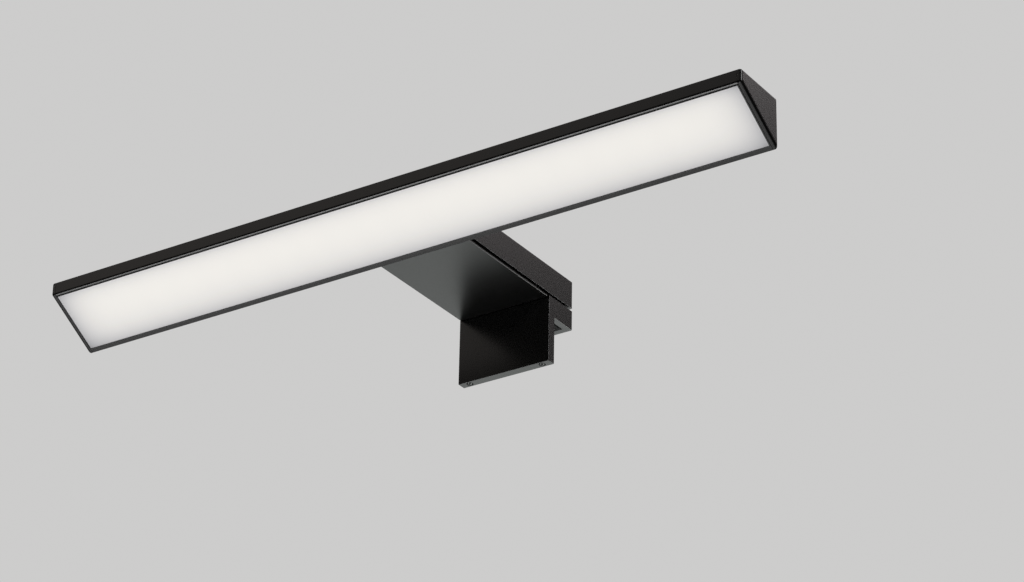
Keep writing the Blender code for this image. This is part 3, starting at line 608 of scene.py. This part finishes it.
def hexagon(radius):
    """Radius of a hexagon at an angle, from the radius of its corners."""
    sixth = math.pi / 3
    return lambda angle: radius * math.cos(sixth / 2) / math.cos(angle % sixth - sixth / 2)


def rounded_square(half):
    """Radius at an angle of a square with slightly rounded corners."""
    power = 12

    def radius(angle):
        return half / (abs(math.cos(angle)) ** power + abs(math.sin(angle)) ** power) ** (1 / power)

    return radius


def thread(start, end, major, pitch, steps=8):
    """Rings of a right-hand screw thread; the thread fades out over a pitch at both ends."""
    depth = 0.55 * pitch
    rings = []
    count = round((end - start) / pitch * steps)
    for i in range(count + 1):
        along = start + (end - start) * i / count
        full = min(1.0, (along - start) / pitch, (end - along) / pitch)

        def radius(angle, along=along, full=full):
            phase = (along / pitch - angle / (2 * math.pi)) % 1
            ridge = min(1.0, max(0.0, 1.15 - 2.6 * abs(phase - 0.5)))
            return major - depth + depth * full * ridge

        rings.append((along, radius))
    return rings


def turned(name, rings, sides=48, closed=False):
    """Mesh round +Z through rings of (place along the axis, radius, material number).

    A radius is a number or a function of the angle, and 0 ends the solid in a point on the axis. A
    closed piece is a tube whose last ring joins its first.
    """
    bm = bmesh.new()
    loops = []
    for along, radius, *paint in rings:
        if radius == 0:
            loop = [bm.verts.new((0, 0, along))]
        else:
            loop = []
            for i in range(sides):
                angle = 2 * math.pi * i / sides
                r = radius(angle) if callable(radius) else radius
                loop.append(bm.verts.new((r * math.cos(angle), r * math.sin(angle), along)))
        loops.append((loop, paint[0] if paint else 0))
    pairs = list(zip(loops, loops[1:]))
    if closed:
        pairs.append((loops[-1], loops[0]))
    for (first, _), (second, paint) in pairs:
        a, b = len(first), len(second)
        for i in range(sides):
            j = (i + 1) % sides
            corners = (first[i % a], first[j % a], second[j % b], second[i % b])
            face = bm.faces.new(list(dict.fromkeys(corners)))
            face.material_index = paint
            face.smooth = True
    bmesh.ops.recalc_face_normals(bm, faces=bm.faces)
    mesh = bpy.data.meshes.new(name)
    bm.to_mesh(mesh)
    bm.free()
    mesh.set_sharp_from_angle(angle=math.radians(40))
    return mesh


def put(node, mesh, mats, axis):
    """A turned mesh in a CAD node's place, from the low end of the node's box up along an axis."""
    low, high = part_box(node)
    place = (Vector(low) + Vector(high)) / 2
    place[axis] = low[axis]
    direction = Vector((0, 0, 0))
    direction[axis] = 1
    turn = direction.to_track_quat("Z", "Y").to_matrix().to_4x4()
    obj = link(f"{node}_shell", mesh, mats)
    obj.matrix_world = Matrix.Translation(place) @ turn
    stand_for(obj, node)


def pan_screw_mesh(name, head_r, head_height, length):
    """Hexagon-socket screw of size M3 with a low round head; it starts at the top of its head."""
    socket_r, socket_depth = 0.45 * head_r, 0.6 * head_height
    edge, chamfer = 0.25 * head_height, 0.08 * MM
    major, pitch = 1.48 * MM, 0.5 * MM
    tip = head_height + length
    head = [
        (socket_depth, 0),
        (socket_depth, hexagon(socket_r)),
        (chamfer, hexagon(socket_r)),
        (0, hexagon(socket_r + chamfer)),
        (0, head_r - edge),
        (0.3 * edge, head_r - 0.3 * edge),
        (edge, head_r),
        (head_height - chamfer, head_r),
        (head_height, head_r - chamfer),
    ]
    end = [(tip - 0.4 * MM, 1.15 * MM), (tip, 0.75 * MM), (tip, 0)]
    return turned(name, head + thread(head_height, tip - 0.5 * MM, major, pitch) + end, 36)


def edge_screw_mesh():
    """Hexagon-socket set screw; it starts at the end with the socket."""
    socket, depth, chamfer = 0.5 * MM, 1.2 * MM, 0.06 * MM
    major, pitch, length = 0.97 * MM, 0.4 * MM, 7.0 * MM
    rings = [(depth, 0), (depth, hexagon(socket)), (chamfer, hexagon(socket))]
    rings += [(0, hexagon(socket + chamfer)), (0, 0.80 * MM), (0.05 * MM, 0.90 * MM)]
    rings += [(0.15 * MM, major), (0.30 * MM, major)]
    rings += thread(0.35 * MM, 6.6 * MM, major, pitch)
    rings += [(6.8 * MM, 0.7 * MM), (length, 0.5 * MM), (length, 0)]
    return turned("edge_screw", rings, 36)


def clamp_screw_mesh():
    """Screw with a tip that is captive in the jaw; it starts at the tip and ends in its socket."""
    low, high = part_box("clamp_screw_left")
    end = high.y - low.y
    tip_r, tip_end, neck_r, core_r = 1.88 * MM, 0.5 * MM, 1.1 * MM, 1.35 * MM
    major, pitch = 1.98 * MM, 0.7 * MM
    socket, depth, chamfer = 1.15 * MM, 2.0 * MM, 0.06 * MM
    rings = [(0, 0), (0, 1.75 * MM), (0.12 * MM, tip_r), (tip_end, tip_r), (tip_end, neck_r)]
    rings += [(2.15 * MM, neck_r), (2.15 * MM, core_r)]
    rings += thread(2.3 * MM, end - 0.3 * MM, major, pitch, steps=10)
    rings += [(end, core_r), (end, hexagon(socket + chamfer)), (end - chamfer, hexagon(socket))]
    rings += [(end - depth, hexagon(socket)), (end - depth, 0)]
    return turned("clamp_screw", rings)


def make_screws(steel, black_steel):
    arm_screw = pan_screw_mesh("arm_screw", 2.7 * MM, 2.0 * MM, 12.0 * MM)
    bracket_screw = pan_screw_mesh("bracket_screw", 2.75 * MM, 1.7 * MM, 13.0 * MM)
    for name, mesh, mat, axis in (
        ("arm_screw", arm_screw, steel, 1),
        ("bracket_screw", bracket_screw, steel, 2),
        ("edge_screw", edge_screw_mesh(), black_steel, 2),
        ("clamp_screw", clamp_screw_mesh(), steel, 1),
    ):
        for side in SIDES:
            put(f"{name}_{side}", mesh, mat, axis)


def make_grommets(rubber):
    """Cable inlet with two rounded lips, and the flanged bush for the low-voltage leads."""
    low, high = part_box("cable_grommet")
    length = high.y - low.y
    lip, neck, bore = 3.5 * MM, 2.7 * MM, 2.1 * MM
    flange = 0.8 * MM
    rings = [(0.15 * MM, bore), (0, bore + 0.15 * MM), (0, lip - 0.6 * MM)]
    rings += [(0.12 * MM, lip - 0.25 * MM), (0.4 * MM, lip - 0.05 * MM), (flange, lip)]
    rings += [(flange, neck), (length - flange, neck)]
    rings += [(length - flange, lip - 0.1 * MM), (length - 0.65 * MM, lip)]
    rings += [(length - 0.3 * MM, lip - 0.1 * MM), (length - 0.1 * MM, lip - 0.3 * MM)]
    rings += [(length, lip - 0.6 * MM), (length, bore + 0.2 * MM)]
    rings += [(length - 0.06 * MM, bore + 0.06 * MM), (length - 0.2 * MM, bore)]
    put("cable_grommet", turned("cable_grommet", rings, 64, closed=True), rubber, 1)
    low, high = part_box("wire_bush")
    length = high.y - low.y
    outer = 2.3 * MM
    bore = outer - 0.45 * MM
    flange_r = outer + 1.0 * MM
    rings = [(0.15 * MM, bore), (0, bore + 0.15 * MM), (0, outer + 0.8 * MM), (0.2 * MM, flange_r)]
    rings += [(flange, flange_r), (flange, outer), (length - 0.2 * MM, outer)]
    rings += [(length, outer - 0.15 * MM), (length, bore + 0.1 * MM), (length - 0.1 * MM, bore)]
    put("wire_bush", turned("wire_bush", rings, closed=True), rubber, 1)


# ---------------------------------------------------------------- electrics


def led_nodes():
    return [node for node in frame["nodes"] if node.startswith("led_") and node[4:].isdigit()]


def make_leds(package, phosphor):
    """Square white packages with a round yellow window; all of them share one mesh."""
    half, height, edge = 1.4 * MM, 0.7 * MM, 0.06 * MM
    rings = [(0.10 * MM, 0, 1), (0.11 * MM, 0.6 * MM, 1), (0.15 * MM, 1.02 * MM, 1)]
    rings += [(0, 1.14 * MM), (0, rounded_square(half - edge)), (edge, rounded_square(half))]
    rings += [(height, rounded_square(half)), (height, 0)]
    mesh = turned("led_package", rings)
    for node in led_nodes():
        put(node, mesh, (package, phosphor), 2)


def cuboids(name, boxes, bevel):
    """One mesh of several boxes, each (lowest corner, highest corner), with bevelled edges."""
    bm = bmesh.new()
    for low, high in boxes:
        middle = (Vector(low) + Vector(high)) / 2
        size = Vector(high) - Vector(low)
        place = Matrix.Translation(middle) @ Matrix.Diagonal((*size, 1))
        bmesh.ops.create_cube(bm, size=1.0, matrix=place)
    bmesh.ops.bevel(bm, geom=bm.edges[:], offset=bevel, segments=2, profile=0.5, affect="EDGES")
    for face in bm.faces:
        face.smooth = True
    mesh = bpy.data.meshes.new(name)
    bm.to_mesh(mesh)
    bm.free()
    mesh.set_sharp_from_angle(angle=math.radians(50))
    return mesh


def add_piece(name, mesh, mats, beside):
    """A piece that no CAD node stands for: it rides like the node beside it."""
    obj = link(name, mesh, mats)
    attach(obj, body_of(beside))


def make_light_source(mats):
    softened("thermal_tape", 0.08 * MM, mats["rubber"])
    softened("led_board", FINE_EDGE, mats["white_board"])
    make_leds(mats["white_plastic"], mats["phosphor"])
    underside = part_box("led_board")[0].z
    pad, inset, clearance = 0.9 * MM, 0.5 * MM, 0.08 * MM
    pads = []
    for node in led_nodes():
        low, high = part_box(node)
        for x in (low.x - pad / 2, high.x - pad / 2):
            corner = (x, low.y + inset, high.z + clearance)
            pads.append((corner, (x + pad, high.y - inset, underside)))
    mesh = cuboids("led_board_pads", pads, 0.02 * MM)
    add_piece("led_board_pads", mesh, mats["steel"], "led_board")
    softened("led_connector", 0.15 * MM, mats["white_plastic"])
    for colour in ("red", "black"):
        softened(f"led_wire_{colour}", 0.05 * MM, mats[f"wire_{colour}"])
    for side in SIDES:
        softened(f"end_gasket_{side}", 0.10 * MM, mats["rubber"])


def capacitor_mesh():
    """Electrolytic capacitor: a sleeve with a groove near its foot, and bare metal at both ends."""
    low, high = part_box("driver_capacitor")
    length, radius = high.y - low.y, (high.z - low.z) / 2
    bare, groove = radius - 0.6 * MM, radius - 0.3 * MM
    rings = [(0, 0, 1), (0, bare, 1), (0.15 * MM, radius - 0.45 * MM)]
    rings += [(0.05 * MM, groove), (0.2 * MM, radius - 0.05 * MM), (0.5 * MM, radius)]
    rings += [(1.3 * MM, radius), (1.5 * MM, groove), (1.8 * MM, groove), (2.0 * MM, radius)]
    rings += [(length - 0.3 * MM, radius), (length - 0.05 * MM, radius - 0.2 * MM)]
    rings += [(length, radius - 0.5 * MM), (length - 0.1 * MM, bare), (length - 0.1 * MM, 0, 1)]
    return turned("driver_capacitor", rings)


def choke_mesh():
    """Drum core with close turns of wire between its two discs."""
    flange, core, height, disc = 2.6 * MM, 1.9 * MM, 3.6 * MM, 0.6 * MM
    edge, wire = 0.1 * MM, 0.12 * MM
    rings = [(0, 0), (0, flange - edge), (edge, flange)]
    rings += [(disc - edge, flange), (disc, flange - edge)]
    turns, steps = 8, 6
    for i in range(turns * steps + 1):
        along = disc + (height - 2 * disc) * i / (turns * steps)
        rings.append((along, core + wire * abs(math.sin(math.pi * i / steps)), 1))
    rings += [(height - disc, flange - edge), (height - disc + edge, flange)]
    rings += [(height - edge, flange), (height, flange - edge), (height, 0)]
    return turned("driver_choke", rings)


def make_driver(mats):
    softened("driver_tray", 0.15 * MM, mats["black_plastic"])
    softened("driver_board", FINE_EDGE, mats["green_board"])
    low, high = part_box("driver_transformer")
    middle = (low.x + high.x) / 2
    core_half = 4.6 * MM

    def core_or_winding(face):
        return 1 if abs(face.calc_center_median().x - middle) > core_half else 0

    core_and_wire = (mats["black_plastic"], mats["copper"])
    softened("driver_transformer", 0.25 * MM, core_and_wire, paint=core_or_winding)
    put("driver_capacitor", capacitor_mesh(), (mats["sleeve"], mats["steel"]), 1)
    put("driver_choke", choke_mesh(), core_and_wire, 2)
    softened("driver_rectifier", 0.20 * MM, mats["black_plastic"])
    make_board_parts(mats)


def make_board_parts(mats):
    """Small chips and solder joints that fill the driver board between its large parts.

    A row is a chip's place from the board's middle and front, then its length, width and height in
    mm.
    """
    low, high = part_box("driver_board")
    top = high.z
    chips, joints = [], []
    for column, row, length, width, height in (
        (-13.0, 5.0, 3.2, 1.6, 0.6),
        (-13.0, 8.5, 2.0, 1.2, 0.5),
        (-13.0, 12.0, 2.0, 1.2, 0.5),
        (3.5, 3.0, 4.0, 3.4, 1.1),
        (9.0, 4.0, 2.0, 1.2, 0.5),
        (12.5, 6.5, 3.2, 1.6, 0.6),
        (6.5, 32.0, 2.0, 1.2, 0.5),
        (10.5, 32.0, 2.0, 1.2, 0.5),
    ):
        x, y = column * MM, low.y + row * MM
        length, width, height = length * MM, width * MM, height * MM
        corner = (x - length / 2, y - width / 2, top)
        chips.append((corner, (x + length / 2, y + width / 2, top + height)))
        for end in (-1, 1):
            tip = x + end * (length / 2 + 0.15 * MM)
            first, last = sorted((tip, tip - end * 0.4 * MM))
            corner = (first, y - 0.4 * width, top)
            joints.append((corner, (last, y + 0.4 * width, top + 0.6 * height)))
    for name, boxes, bevel, mat, beside in (
        ("driver_board_chips", chips, 0.06 * MM, "black_plastic", "driver_tray"),
        ("driver_board_joints", joints, 0.05 * MM, "steel", "driver_board"),
    ):
        add_piece(name, cuboids(name, boxes, bevel), mats[mat], beside)


def make_supply(mats):
    softened("terminal_block", 0.25 * MM, mats["white_plastic"])
    for side in SIDES:
        softened(f"terminal_screw_{side}", FINE_EDGE, mats["steel"], segments=2)


def make_clamp(mats):
    for node in ("seat_pad", "front_pad", "jaw_pad"):
        softened(node, 0.12 * MM, mats["ribbed_rubber"])
    softened("rear_jaw", 0.25 * MM, mats["jaw_steel"])


def make_finishes():
    return {
        "rubber": soft_rubber("soft_rubber"),
        "ribbed_rubber": soft_rubber("ribbed_rubber", rib=1.6 * MM),
        "steel": plated_steel("plated_steel", (0.62, 0.62, 0.63), 0.22, 0.36),
        "jaw_steel": plated_steel("jaw_steel", (0.52, 0.52, 0.53), 0.30, 0.42),
        "black_steel": plated_steel("black_steel", (0.095, 0.096, 0.095), 0.26, 0.38),
        "black_plastic": moulded("black_plastic", (0.030, 0.030, 0.030)),
        "white_plastic": moulded("white_plastic", (0.78, 0.77, 0.74), 0.42),
        "white_board": circuit_board("white_board", (0.80, 0.80, 0.78), (0.70, 0.71, 0.69)),
        "green_board": circuit_board("green_board", (0.020, 0.120, 0.050), (0.045, 0.20, 0.085)),
        "phosphor": moulded("phosphor", (0.85, 0.62, 0.10), 0.35),
        "copper": wound_copper(),
        "sleeve": moulded("capacitor_sleeve", (0.020, 0.022, 0.035), 0.32),
        "wire_red": moulded("red_insulation", (0.42, 0.020, 0.015), 0.38),
        "wire_black": moulded("black_insulation", (0.022, 0.022, 0.022), 0.38),
    }


def main():
    make_camera()
    make_studio()
    black_x = satin_black("satin_black_bar", "X")
    black_y = satin_black("satin_black_arm", "Y")
    make_bar(black_x)
    make_diffuser()
    make_arm(black_x, black_y)
    mats = make_finishes()
    make_screws(mats["steel"], mats["black_steel"])
    make_grommets(mats["rubber"])
    make_light_source(mats)
    make_driver(mats)
    make_supply(mats)
    make_clamp(mats)


main()
